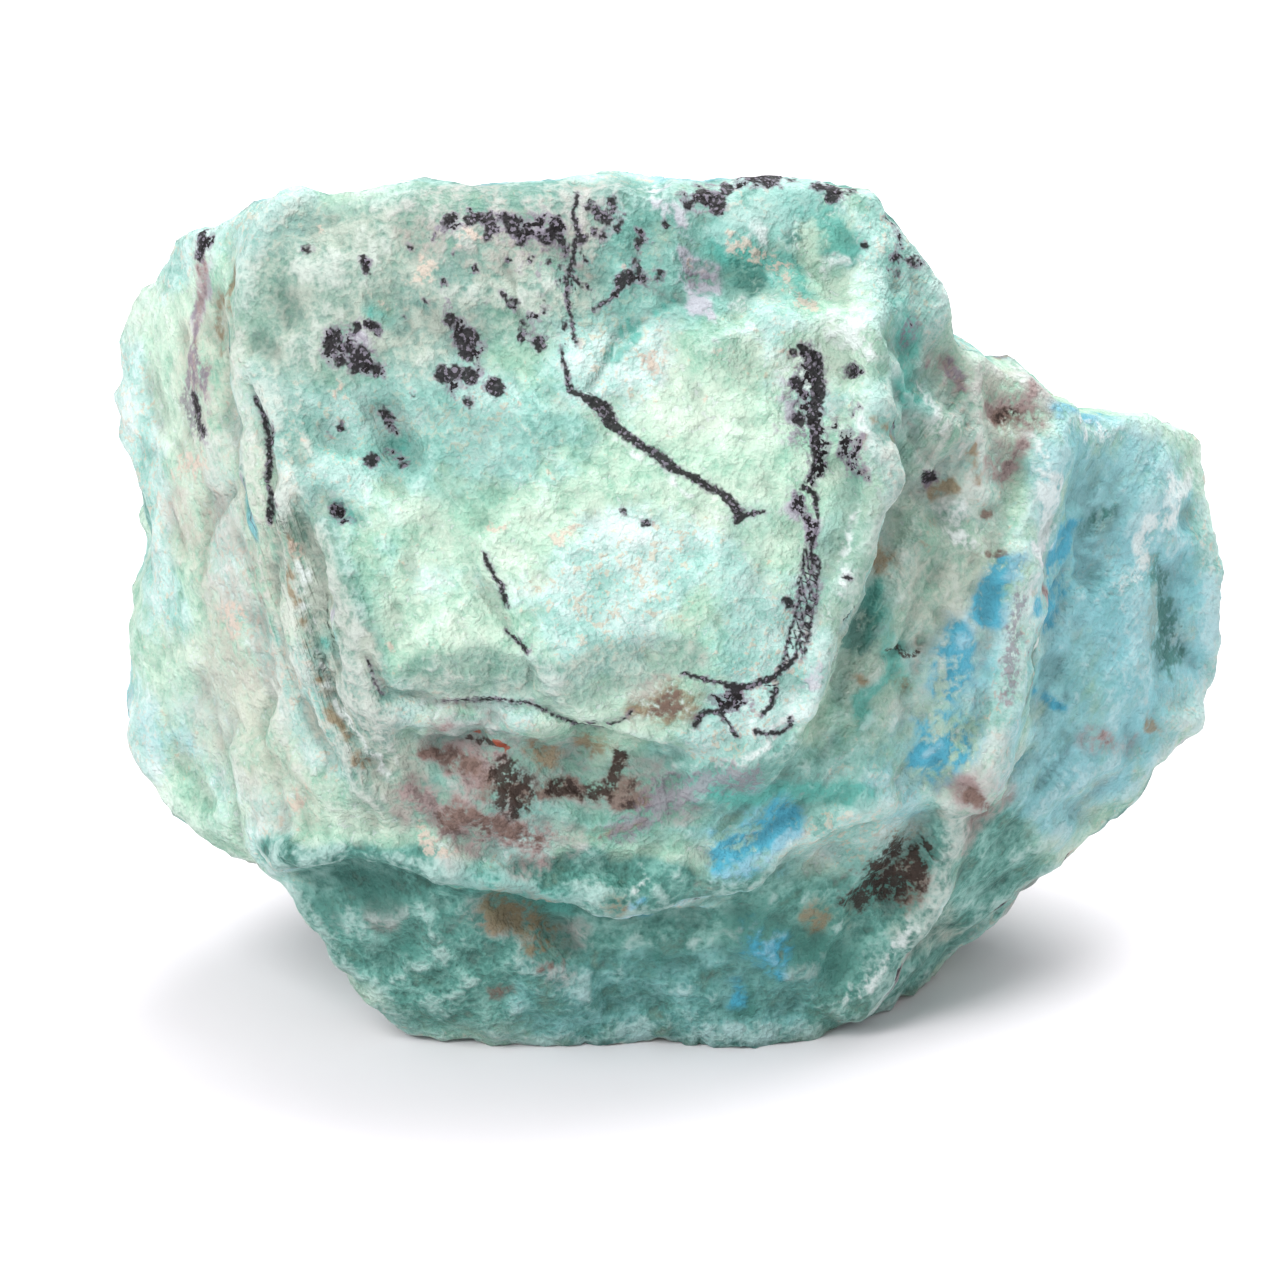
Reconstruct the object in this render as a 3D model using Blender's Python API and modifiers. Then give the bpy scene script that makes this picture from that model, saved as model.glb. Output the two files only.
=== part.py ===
"""A palm-sized lump of raw chrysocolla, broken from the rock and resting on one flat face.

Lengths in the tables are millimetres, +Z up, with the broad pale fracture face towards -Y and the
floor at Z = 0. The lump is one piece. Its mass is made of overlapping blocks, each the convex hull
of the corners where its fracture faces meet. They are fused, hollowed by flake scars, worn to an
even skin, roughened with ridges, grooves, chips and swells, thinned, and cut off flat at the floor.
"""

import bmesh
import bpy
import numpy as np
from mathutils import Euler, Vector, noise
from mathutils.kdtree import KDTree

STONE_NAME = "raw_chrysocolla"
MM = 0.001

STONE_WIDTH = 61.0  # from the left flank to the tip of the right lobe
SKIN_CELL = 0.6  # cell of the even skin, which also wears the sharp corners
SKIN_TRIANGLES = 9000
FOOT_DEPTH = 4.0  # how far the foot is drawn below the floor, before it is cut off
SEED = 7  # for the places and tilts of the chips
MINT_GREEN = (0.36, 0.65, 0.55, 1.0)  # linear RGB

# Corners of each block, where its fracture faces meet: (x, y, z).
BLOCKS = {
    "mass": [  # the body behind all the others
        (-17.0, -7.5, 44.5), (8.5, -7.5, 44.5), (-18.5, -12.5, 33.0), (8.0, -12.5, 33.0),
        (-17.0, -14.5, 14.0), (11.0, -12.5, 15.0), (-27.5, 1.0, 37.0), (-28.0, 0.0, 16.0),
        (18.0, -4.5, 32.0), (27.5, 4.0, 25.0), (27.5, 3.0, 16.0), (15.5, -9.0, 17.0),
        (-15.0, 7.0, 39.5), (7.0, 8.0, 38.5), (-10.0, 19.5, 30.0), (3.0, 20.5, 27.5),
        (-24.0, 9.0, 36.0), (-27.5, 10.0, 27.0), (-24.0, 11.0, 12.0), (-19.0, 17.0, 24.0),
        (19.0, 9.0, 30.5), (27.5, 11.0, 24.0), (25.0, 12.0, 13.0), (16.0, 17.5, 22.0),
        (-15.0, 15.0, 8.0), (10.0, 17.0, 8.0), (-1.0, 20.5, 16.0),
        (-12.5, 11.0, 2.0), (10.5, 13.0, 2.0),
    ],
    "crown": [  # the upper mass: the pale face in front, its top sloping down to the rear
        (-19.9, -8.2, 47.5), (-13.0, -10.6, 47.7), (-2.0, -10.5, 48.1), (5.9, -7.7, 48.5),
        (10.6, -9.1, 47.5), (12.0, -8.8, 45.2), (13.6, -8.4, 42.1), (14.3, -8.4, 38.5),
        (10.4, -13.7, 40.7), (10.3, -16.5, 34.5), (9.9, -17.8, 30.8), (8.7, -19.3, 28.3),
        (1.1, -21.6, 27.8), (-7.2, -22.1, 26.3), (-15.5, -21.2, 26.0),
        (-17.1, -19.0, 27.5), (-20.8, -15.3, 34.2), (-21.6, -12.6, 41.0),
        (7.0, -20.4, 23.7), (4.5, -20.3, 21.0), (-4.1, -20.5, 22.0), (-15.3, -20.1, 23.0),
        (-17.0, 5.0, 40.5), (9.0, 6.0, 40.0), (-9.0, 17.5, 31.5), (2.0, 19.0, 29.0),
        (-13.0, 10.0, 16.0), (8.0, 10.0, 16.0),
    ],
    "left_side": [  # shoulder above, hip below
        (-22.9, -7.6, 45.7), (-25.3, -5.1, 44.0), (-28.5, -0.8, 41.1), (-29.9, 0.4, 38.6),
        (-30.2, 0.5, 35.7), (-30.3, -4.0, 17.6), (-30.4, -4.6, 14.5), (-28.9, -5.9, 12.4),
        (-26.6, -8.1, 10.6), (-23.8, -10.0, 9.8), (-22.0, -11.3, 9.3),
        (-21.6, -11.8, 42.0), (-21.4, -14.6, 33.3), (-17.2, -18.4, 23.5), (-15.6, -18.7, 16.6),
        (-20.7, -15.8, 13.0),
        (-19.7, -7.8, 47.3), (-20.6, -10.6, 44.4), (-16.2, -19.6, 22.0),
        (-20.0, 4.0, 39.5), (-25.5, 7.5, 35.0), (-29.6, 4.0, 31.0), (-29.8, 4.0, 15.0),
        (-25.8, 0.5, 8.2), (-20.0, 1.0, 5.5), (-25.0, 9.0, 13.0), (-17.0, 9.0, 8.0),
    ],
    "girdle": [  # the stained band under the nose, down to the ledge
        (-15.3, -20.1, 23.0), (4.5, -20.3, 21.0), (7.0, -19.4, 23.7),
        (-20.7, -16.3, 13.0), (-13.1, -18.4, 13.0), (-2.0, -18.5, 11.4), (3.3, -17.6, 12.4),
        (11.9, -15.3, 15.8), (15.2, -13.4, 15.0),
        (-15.0, 5.0, 24.0), (10.0, 5.0, 24.0), (-15.0, 5.0, 12.0), (10.0, 5.0, 12.0),
    ],
    "right_flank": [
        (14.3, -8.4, 38.9), (16.7, -7.6, 37.1), (19.5, -6.0, 35.6), (20.6, -5.2, 34.7),
        (20.6, -6.0, 32.7), (17.8, -10.1, 27.2), (17.6, -12.2, 20.0), (16.8, -12.6, 14.4),
        (15.2, -13.4, 15.0), (11.9, -15.3, 15.8), (6.4, -18.8, 20.2), (8.0, -18.0, 24.1),
        (9.9, -15.8, 30.0), (10.1, -13.2, 37.1),
        (19.5, 4.0, 32.5), (10.0, 6.0, 38.0), (18.0, 9.0, 20.0), (6.0, 8.0, 18.0),
    ],
    "right_lobe": [
        (20.6, -5.2, 34.4), (23.7, 0.0, 31.6), (29.4, 4.7, 29.7), (29.3, 3.0, 23.8),
        (30.2, 2.4, 20.5), (29.9, 0.9, 16.3), (28.6, -0.3, 13.2), (26.4, -1.7, 10.8),
        (23.6, -2.9, 8.9), (20.7, -4.8, 6.6), (17.9, -6.0, 4.7), (14.8, -4.1, 0.8),
        (17.8, -9.7, 27.2), (17.6, -11.8, 20.0), (16.8, -12.2, 14.4), (14.6, -12.4, 10.6),
        (29.4, 8.5, 26.0), (28.0, 9.0, 13.5), (20.0, 11.0, 27.5), (24.0, 8.0, 7.4),
        (18.6, 5.0, 2.6), (12.0, 10.0, 24.0), (12.0, 9.0, 2.6),
    ],
    "foot": [  # the undercut base
        (-21.4, -12.2, 10.6), (-18.8, -14.2, 12.0), (-13.1, -17.6, 11.5), (-2.0, -17.4, 10.0),
        (3.3, -16.6, 11.0), (11.5, -14.6, 14.4), (15.4, -12.6, 14.6), (14.8, -12.2, 11.0),
        (-18.8, -12.6, 5.7), (-15.1, -12.8, 2.2),
        (-13.0, -11.1, 0.0), (-4.2, -12.7, 0.0), (6.7, -12.4, 0.0), (14.8, -4.1, 0.0),
        (-11.5, -9.8, -FOOT_DEPTH), (6.0, -10.8, -FOOT_DEPTH), (13.2, -3.2, -FOOT_DEPTH),
        (9.5, 12.5, -FOOT_DEPTH), (-3.0, 15.5, -FOOT_DEPTH), (-12.5, 8.5, -FOOT_DEPTH),
        (-17.0, 10.0, 10.0), (-6.0, 17.0, 9.0), (13.0, 14.0, 9.0),
    ],
}

# Scars left by flakes that broke away: (centre, radii, tilt in degrees about X, Y, Z).
SCARS = {
    "under_ledge": ((-7.5, -20.6, 6.6), (5.0, 3.2, 3.4), (0, 0, 0)),
    "dark_hollow": ((10.6, -17.4, 10.6), (4.2, 3.0, 2.6), (0, 20, 20)),
    "behind_rim": ((12.9, -17.8, 27.0), (2.4, 2.2, 6.0), (0, -12, 0)),
    "lobe_top": ((25.0, -3.0, 37.2), (6.0, 9.0, 5.2), (0, 14, 0)),
    "left_waist": ((-34.4, -3.0, 26.0), (6.0, 12.0, 7.0), (0, 0, 0)),
    "rear_top": ((-5.0, 19.0, 48.0), (14.0, 12.0, 10.0), (-25, 8, 0)),
    "rear_shell": ((5.0, 29.5, 19.0), (10.0, 10.0, 9.0), (0, 10, 0)),
    "rear_left": ((-26.0, 22.0, 18.0), (9.0, 8.0, 11.0), (0, 0, 0)),
    "rear_right": ((27.0, 20.0, 29.0), (10.0, 9.0, 9.0), (0, 0, 0)),
}


# Low relief. Each line: how far it stands out (a groove is negative), its half width, the side
# it is on (-1 front, +1 rear) and the places it runs through, as (x, z), all in mm.
RELIEF_LINES = {
    "rim_lip": (0.9, 1.0, -1, ((9.8, 41.5), (10.2, 37.8), (10.0, 32.0), (9.0, 29.0), (7.8, 27.5),
                               (7.0, 24.0), (6.0, 21.0), (3.2, 19.9), (1.2, 17.8))),
    "beside_rim": (-0.9, 1.2, -1, ((11.8, 37.5), (11.6, 32.0), (10.4, 28.5), (9.0, 24.5), (7.4, 20.5))),
    "teal_recess": (-0.9, 1.8, -1, ((1.0, 43.5), (4.5, 44.6), (8.0, 44.4))),
    "teal_step": (0.5, 0.8, -1, ((1.2, 40.6), (4.3, 41.4), (6.5, 42.2), (9.8, 42.6))),
    "rim_top_lump": (0.8, 1.0, -1, ((8.8, 41.2), (9.6, 40.6))),
    "rim_mid_lump": (0.7, 0.8, -1, ((9.8, 38.2), (9.9, 37.4))),
    "rim_low_lump": (0.8, 0.9, -1, ((9.9, 34.9), (10.0, 33.6))),
    "round_pit": (-1.0, 0.7, -1, ((-17.8, 32.5), (-17.5, 32.3))),
    "left_hollow": (-0.8, 1.1, -1, ((-15.4, 37.2), (-14.4, 35.2))),
    "nose_lip": (0.6, 0.9, -1, ((-15.2, 23.0), (-12.0, 22.2), (-7.0, 22.4), (-2.0, 21.7), (1.0, 20.8))),
    "under_nose": (-0.8, 1.3, -1, ((-13.5, 20.4), (-8.0, 20.2), (-2.0, 19.2), (1.5, 18.4))),
    "left_fold": (0.8, 0.9, -1, ((-23.4, 41.5), (-23.0, 39.0), (-22.0, 36.0), (-21.3, 30.5))),
    "beside_fold": (-0.8, 0.9, -1, ((-24.8, 41.5), (-24.4, 38.6), (-23.4, 35.4), (-22.6, 30.0))),
    "outer_fold": (0.7, 0.8, -1, ((-20.6, 33.5), (-19.5, 29.0), (-18.8, 24.5), (-17.2, 20.4),
                                  (-15.4, 16.0))),
    "fold_groove": (-0.7, 0.7, -1, ((-18.9, 31.0), (-17.9, 26.5), (-17.3, 22.6), (-15.8, 19.0))),
    "inner_fold": (0.6, 0.7, -1, ((-17.9, 32.5), (-16.9, 28.0), (-16.4, 24.0), (-14.2, 18.5))),
    "ledge_rim": (1.0, 0.9, -1, ((-21.0, 12.8), (-17.4, 14.6), (-13.0, 13.3), (-7.3, 12.2), (-2.0, 11.0),
                                 (2.3, 11.7), (6.5, 14.5), (10.5, 16.4))),
    "under_rim": (-0.7, 1.1, -1, ((-18.0, 11.2), (-12.5, 10.6), (-7.0, 9.6), (-2.0, 8.6), (3.0, 9.4))),
    "stain_bulge": (0.7, 1.8, -1, ((-12.0, 16.6), (-7.0, 15.6), (-3.0, 15.0))),
    "flank_ridge": (0.8, 1.2, -1, ((20.2, 32.8), (18.0, 27.2), (17.6, 20.0), (15.6, 15.4))),
    "flank_ripple": (0.5, 0.7, -1, ((12.0, 38.3), (13.2, 35.6), (15.2, 34.2))),
    "flank_hollow": (-0.8, 1.6, -1, ((13.6, 31.5), (13.4, 26.0), (11.6, 21.5))),
    "foot_ridge": (1.0, 0.9, -1, ((15.4, 14.3), (14.0, 10.1), (12.2, 6.2), (9.5, 2.1))),
    "beside_foot_ridge": (-0.7, 1.1, -1, ((13.2, 13.0), (11.8, 9.0), (9.8, 5.0))),
    "lobe_valley": (-0.9, 1.6, -1, ((22.6, 29.0), (21.4, 22.0), (20.4, 15.0))),
    "lobe_ridge": (0.6, 1.3, -1, ((26.5, 28.0), (25.4, 21.0), (23.6, 14.0))),
    "rear_ridge": (1.1, 1.4, 1, ((-13.0, 31.0), (-6.0, 28.5), (0.0, 29.5), (6.0, 27.0), (9.0, 20.0))),
    "rear_groove": (-1.0, 1.3, 1, ((-10.0, 38.0), (-4.0, 35.5), (3.0, 36.0))),
    "rear_ledge": (1.0, 1.1, 1, ((-18.0, 15.0), (-10.0, 13.0), (-2.0, 14.0), (6.0, 12.0), (14.0, 13.5))),
    "rear_step": (-0.9, 1.5, 1, ((14.0, 28.0), (17.0, 22.0), (20.0, 17.0))),
}
CHIP_SIZES = (9.0, 4.5)  # mm: two sizes of chipped facet, the smaller cut into the larger
CHIP_SLOPE = 0.075  # how far a facet tips out of the surface
WAVES = ((12.0, 0.4), (4.0, 0.2))  # mm: length and height of the swells


def clear_scene():
    """Removes whatever the file opened with."""
    for old in list(bpy.data.objects):
        bpy.data.objects.remove(old, do_unlink=True)


def new_object(name, bm, collection):
    """Puts a finished bmesh in an object of its own, with its faces pointing out."""
    bmesh.ops.recalc_face_normals(bm, faces=bm.faces)
    mesh = bpy.data.meshes.new(name)
    bm.to_mesh(mesh)
    bm.free()
    made = bpy.data.objects.new(name, mesh)
    collection.objects.link(made)
    return made


def hull_block(name, corners, collection):
    """One block: the convex hull of its corners."""
    bm = bmesh.new()
    for corner in corners:
        bm.verts.new(Vector(corner) * MM)
    hull = bmesh.ops.convex_hull(bm, input=bm.verts)
    inside = {g for g in hull["geom_interior"] if isinstance(g, bmesh.types.BMVert)}
    bmesh.ops.delete(bm, geom=list(inside), context="VERTS")
    return new_object(name, bm, collection)


def scar_cutter(name, centre, radii, tilt, collection):
    """The rounded hollow of a flake scar: an icosphere stretched to three radii and tilted."""
    bm = bmesh.new()
    bmesh.ops.create_icosphere(bm, subdivisions=3, radius=1.0)
    turn = Euler([np.radians(angle) for angle in tilt]).to_matrix()
    for vert in bm.verts:
        stretched = Vector(c * r for c, r in zip(vert.co, radii))
        vert.co = (turn @ stretched + Vector(centre)) * MM
    return new_object(name, bm, collection)


def apply_modifiers(obj):
    """Replaces the object's mesh with its evaluated one and drops the modifiers."""
    graph = bpy.context.evaluated_depsgraph_get()
    solid = bpy.data.meshes.new_from_object(obj.evaluated_get(graph))
    obj.modifiers.clear()
    obj.data = solid


def combine(stone, others, operation):
    """Adds or takes away the other solids, which stay in the scene as hidden wires."""
    for other in others:
        boolean = stone.modifiers.new(other.name, "BOOLEAN")
        boolean.operation = operation
        boolean.object = other
        other.hide_render = True
        other.display_type = "WIRE"


def even_skin(stone):
    """Voxel remesh: equal cells all over, which blunts the edges by about a cell."""
    remesh = stone.modifiers.new("even_skin", "REMESH")
    remesh.mode = "VOXEL"
    remesh.voxel_size = SKIN_CELL * MM
    apply_modifiers(stone)


def line_offsets(places, facing, height, half_width, side, route):
    """A ridge or groove: height * exp(-(distance to the route / half width) squared)."""
    front = places[:, (0, 2)]
    nearest = np.full(len(front), np.inf)
    for start, end in zip(np.array(route[:-1]), np.array(route[1:])):
        along = np.clip((front - start) @ (end - start) / ((end - start) @ (end - start)), 0, 1)
        gap = np.linalg.norm(front - start - along[:, None] * (end - start), axis=1)
        nearest = np.minimum(nearest, gap)
    towards = np.clip(2.5 * side * facing, 0, 1)  # fades out where the skin turns away
    return height * towards * np.exp(-((nearest / half_width) ** 2))


def chip_offsets(places, size, rng):
    """Facets: each place takes the tilt of its nearest random centre."""
    low, high = places.min(axis=0), places.max(axis=0)
    centres = rng.uniform(low, high, (int(np.prod((high - low) / size)), 3))
    tilts = rng.normal(size=centres.shape)
    tilts *= CHIP_SLOPE / np.linalg.norm(tilts, axis=1, keepdims=True)
    tree = KDTree(len(centres))
    for number, centre in enumerate(centres):
        tree.insert(centre, number)
    tree.balance()
    owner = np.array([tree.find(place)[1] for place in places])
    return np.sum((places - centres[owner]) * tilts[owner], axis=1)


def roughen(stone):
    """Moves the skin along its normals: ridges and grooves, chipped facets and swells."""
    mesh = stone.data
    places = np.empty(3 * len(mesh.vertices))
    normals = np.empty_like(places)
    mesh.vertices.foreach_get("co", places)
    mesh.vertex_normals.foreach_get("vector", normals)
    places = places.reshape(-1, 3) / MM
    normals = normals.reshape(-1, 3)
    offsets = np.zeros(len(places))
    for line in RELIEF_LINES.values():
        offsets += line_offsets(places, normals[:, 1], *line)
    rng = np.random.default_rng(SEED)
    for size in CHIP_SIZES:
        offsets += chip_offsets(places, size, rng)
    for length, height in WAVES:
        offsets += [height * noise.noise(Vector(place) / length) for place in places]
    places += normals * offsets[:, None]
    mesh.vertices.foreach_set("co", (places * MM).ravel())


def thin_skin(stone):
    """Fewer triangles where the skin is flat."""
    triangles = sum(len(face.vertices) - 2 for face in stone.data.polygons)
    decimate = stone.modifiers.new("thin_skin", "DECIMATE")
    decimate.ratio = SKIN_TRIANGLES / triangles
    apply_modifiers(stone)


def stand_on_floor(stone):
    """Cuts the foot off flat at the floor, sizes the lump and centres it over the origin."""
    bm = bmesh.new()
    bm.from_mesh(stone.data)
    everything = bm.verts[:] + bm.edges[:] + bm.faces[:]
    cut = bmesh.ops.bisect_plane(
        bm, geom=everything, plane_co=(0, 0, 0), plane_no=(0, 0, 1), clear_inner=True
    )
    rim = [g for g in cut["geom_cut"] if isinstance(g, bmesh.types.BMEdge)]
    bmesh.ops.edgeloop_fill(bm, edges=rim)
    places = np.array([vert.co for vert in bm.verts])
    low, high = places.min(axis=0), places.max(axis=0)
    middle = (low + high) / 2
    size = STONE_WIDTH * MM / (high - low)[0]
    bmesh.ops.translate(bm, verts=bm.verts, vec=(-middle[0], -middle[1], 0))
    bmesh.ops.scale(bm, verts=bm.verts, vec=(size, size, size))
    bmesh.ops.recalc_face_normals(bm, faces=bm.faces)
    bm.to_mesh(stone.data)
    bm.free()


def stone_material():
    """Copper silicate with a dull, waxy fracture: pale blue-green."""
    material = bpy.data.materials.new("chrysocolla")
    material.use_nodes = True
    shader = material.node_tree.nodes["Principled BSDF"]
    shader.inputs["Base Color"].default_value = MINT_GREEN
    shader.inputs["Roughness"].default_value = 0.55
    shader.inputs["Metallic"].default_value = 0.0
    return material


def main():
    clear_scene()
    scene = bpy.context.scene.collection
    collection = bpy.data.collections.new(STONE_NAME)
    helpers = bpy.data.collections.new("blocks_and_scars")
    scene.children.link(collection)
    scene.children.link(helpers)
    blocks = [hull_block(name, corners, helpers) for name, corners in BLOCKS.items()]
    scars = [scar_cutter(name, *scar, helpers) for name, scar in SCARS.items()]
    stone = bpy.data.objects.new(STONE_NAME, blocks[0].data.copy())
    collection.objects.link(stone)
    combine(stone, blocks[1:], "UNION")
    combine(stone, scars, "DIFFERENCE")
    blocks[0].hide_render = True
    apply_modifiers(stone)
    even_skin(stone)
    roughen(stone)
    thin_skin(stone)
    stand_on_floor(stone)
    stone.data.materials.clear()
    stone.data.materials.append(stone_material())


main()
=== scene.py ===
import math

import bmesh
import bpy
import numpy as np
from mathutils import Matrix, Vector


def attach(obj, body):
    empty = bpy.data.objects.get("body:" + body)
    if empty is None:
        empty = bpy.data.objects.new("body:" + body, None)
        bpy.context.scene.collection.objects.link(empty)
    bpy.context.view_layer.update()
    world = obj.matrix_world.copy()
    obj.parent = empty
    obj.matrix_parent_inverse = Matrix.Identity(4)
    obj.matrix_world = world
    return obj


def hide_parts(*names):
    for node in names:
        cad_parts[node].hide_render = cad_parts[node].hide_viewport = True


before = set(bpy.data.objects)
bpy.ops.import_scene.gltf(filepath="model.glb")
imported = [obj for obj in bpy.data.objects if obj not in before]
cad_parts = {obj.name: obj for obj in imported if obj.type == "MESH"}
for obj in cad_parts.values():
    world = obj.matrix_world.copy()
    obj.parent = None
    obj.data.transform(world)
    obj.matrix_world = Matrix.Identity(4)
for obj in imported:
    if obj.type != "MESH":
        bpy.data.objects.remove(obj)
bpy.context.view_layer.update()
print("frame loaded")

mm = 0.001
scene = bpy.context.scene

# The stone is looked at from a little above, on a square frame. Its marks are drawn on that frame:
# x to the right and y down from its top left corner, and half widths, in 1280ths of its side.
look = {
    "elevation": 20.0,  # degrees above the floor
    "distance": 328.9,  # mm from the lens to the pale face
    "aim": (-1.8, -19.4, 26.2),  # mm, the middle of the pale face
    "frameWidth": 66.45,  # mm of the pale face that the frame takes in
    "frameSide": 1280,
    "sensorWidth": 36.0,  # mm
    "clip": (0.01, 10.0),  # m, the nearest and the furthest that the camera sees
}
tilt = math.radians(look["elevation"])
acrossWay = np.array((1.0, 0.0, 0.0))
upWay = np.array((0.0, math.sin(tilt), math.cos(tilt)))
awayWay = np.array((0.0, math.cos(tilt), -math.sin(tilt)))
unitsPerMm = look["frameSide"] / look["frameWidth"]


def onFrame(places):
    # x, y on the frame, with what is further off drawn smaller
    offset = places - np.array(look["aim"])
    scale = unitsPerMm * look["distance"] / (look["distance"] + offset @ awayWay)
    middle = look["frameSide"] / 2
    return np.stack((middle + offset @ acrossWay * scale, middle - offset @ upWay * scale), axis=1)


def placeCamera():
    data = bpy.data.cameras.new("studioCamera")
    data.sensor_width = look["sensorWidth"]
    data.lens = look["sensorWidth"] * look["distance"] / look["frameWidth"]
    data.clip_start, data.clip_end = look["clip"]
    camera = bpy.data.objects.new("studioCamera", data)
    scene.collection.objects.link(camera)
    camera.location = Vector(np.array(look["aim"]) - awayWay * look["distance"]) * mm
    camera.rotation_mode = "QUATERNION"
    camera.rotation_quaternion = Vector(awayWay).to_track_quat("-Z", "Y")
    scene.camera = camera


placeCamera()
print("camera placed")


def linear(hexColour):
    # sRGB hex to linear RGBA
    parts = [int(hexColour[i : i + 2], 16) / 255 for i in (1, 3, 5)]
    return [p / 12.92 if p <= 0.04045 else ((p + 0.055) / 1.055) ** 2.4 for p in parts] + [1.0]


def addNode(tree, kind, inputs=None, output=0, **settings):
    # One node: its settings, and each input as a value or as the socket that feeds it
    node = tree.nodes.new(kind)
    for name, value in settings.items():
        setattr(node, name, value)
    for name, value in (inputs or {}).items():
        if isinstance(value, bpy.types.NodeSocket):
            tree.links.new(value, node.inputs[name])
        else:
            node.inputs[name].default_value = value
    return node.outputs[output]


# Noise on the lattice of whole numbers. Tables of random vectors stand for the lattice's corners.

tableSize = 4096
mixers = (73856093, 19349663, 83492791, 374761393)  # stir a corner's three numbers and the seed
noiseReach = 1.6  # brings gradient noise to about -1 to 1


def cornerIndex(cell, seed):
    # Where the table has the vector of a corner
    a, b, c, d = mixers
    return (cell[..., 0] * a ^ cell[..., 1] * b ^ cell[..., 2] * c ^ seed * d) % tableSize


def gradientNoise(places, size, seed):
    # At each corner of the cell a random slope, blended by 6t^5 - 15t^4 + 10t^3
    slopes = np.random.default_rng(seed).normal(size=(tableSize, 3))
    slopes /= np.linalg.norm(slopes, axis=1, keepdims=True)
    scaled = places / size
    cell = np.floor(scaled).astype(np.int64)
    inside = scaled - cell
    fade = inside**3 * (inside * (inside * 6 - 15) + 10)
    total = np.zeros(len(places))
    for corner in np.ndindex(2, 2, 2):
        corner = np.array(corner)
        slope = slopes[cornerIndex(cell + corner, seed)]
        weight = np.prod(np.where(corner, fade, 1 - fade), axis=1)
        total += weight * np.sum(slope * (inside - corner), axis=1)
    return total * noiseReach


def cloudNoise(places, size, seed, octaves=3):
    # Gradient noise, then half the size at half the height, and so on
    total = np.zeros(len(places))
    for step in range(octaves):
        total += gradientNoise(places, size / 2**step, seed + step) / 2**step
    return total


def scarNoise(places, size, seed, lean=0.5):
    # Shallow bowls with sharp ridges between them, like flake scars. With gap the way from a
    # random point, in cells: the least, over the near points, of gap^2 + lean * tilt . gap
    random = np.random.default_rng(seed)
    points = random.uniform(size=(tableSize, 3))
    tilts = random.normal(size=(tableSize, 3))
    tilts *= lean / np.linalg.norm(tilts, axis=1, keepdims=True)
    scaled = places / size
    cell = np.floor(scaled).astype(np.int64)
    height = np.full(len(places), np.inf)
    for step in np.ndindex(3, 3, 3):
        neighbour = cell + np.array(step) - 1
        index = cornerIndex(neighbour, seed)
        gap = scaled - neighbour - points[index]
        height = np.minimum(height, np.sum(gap * (gap + tilts[index]), axis=1))
    return height


def terraces(values, steps, steepness):
    # Flat treads and steep risers: the whole part of steps * value, and a steep rise between
    scaled = values * steps
    whole = np.floor(scaled)
    rise = smoothStep(0.5 - 0.5 / steepness, 0.5 + 0.5 / steepness, scaled - whole)
    return (whole + rise) / steps


def smoothStep(low, high, value):
    # 0 up to low, 1 from high, and 3t^2 - 2t^3 between
    t = np.clip((value - low) / (high - low), 0, 1)
    return t * t * (3 - 2 * t)


dotRun = (0.1, 0, 0)  # a dot is a stroke that goes this far
farOff = 99.0  # mm or half widths from any mark, as good as nowhere


def nearestStroke(spots, strokes):
    # For each place the way from the nearest stroke's middle line, that stroke's half width there,
    # and the place's depth in it, half width - distance. A stroke is a list of (x, y, half width)
    # and a dot is one of them alone
    way = np.zeros((len(spots), 2))
    width = np.ones(len(spots))
    depth = np.full(len(spots), -np.inf)
    for stroke in strokes:
        points = np.array(stroke, dtype=float).reshape(-1, 3)
        if len(points) == 1:
            points = np.vstack((points, points + dotRun))
        for start, end in zip(points[:-1], points[1:]):
            run = end[:2] - start[:2]
            along = np.clip((spots - start[:2]) @ run / (run @ run), 0, 1)
            gap = spots - start[:2] - along[:, None] * run
            half = start[2] + along * (end[2] - start[2])
            here = half - np.hypot(gap[:, 0], gap[:, 1])
            closer = here > depth
            way = np.where(closer[:, None], gap, way)
            width = np.where(closer, half, width)
            depth = np.where(closer, here, depth)
    return way, width, depth


def glow(spots, strokes):
    # 1 along a stroke, fading as exp(-(distance / half width) squared)
    field = np.full(len(spots), farOff)
    for stroke in strokes:
        way, width, _ = nearestStroke(spots, [stroke])
        field = np.minimum(field, np.sum(way * way, axis=1) / width**2)
    return np.exp(-field)


wander = {  # how far drawn marks stray: size in mm, reach on the frame, and seed of the noise
    "lines": (1.2, 3, 75),
    "stains": (2.6, 15, 80),
    "grounds": (7.0, 30, 90),
    "relief": (2.5, 7, 70),
}


def wandering(spots, places, kind):
    # The spots shifted by two noises, 50 seeds apart, so that what is drawn there gets a ragged edge
    size, reach, seed = wander[kind]
    shift = [cloudNoise(places, size, seed + 50 * way) for way in range(2)]
    return spots + reach * np.stack(shift, axis=1)


# Marks on the side that is looked at, on the frame described above.

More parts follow.
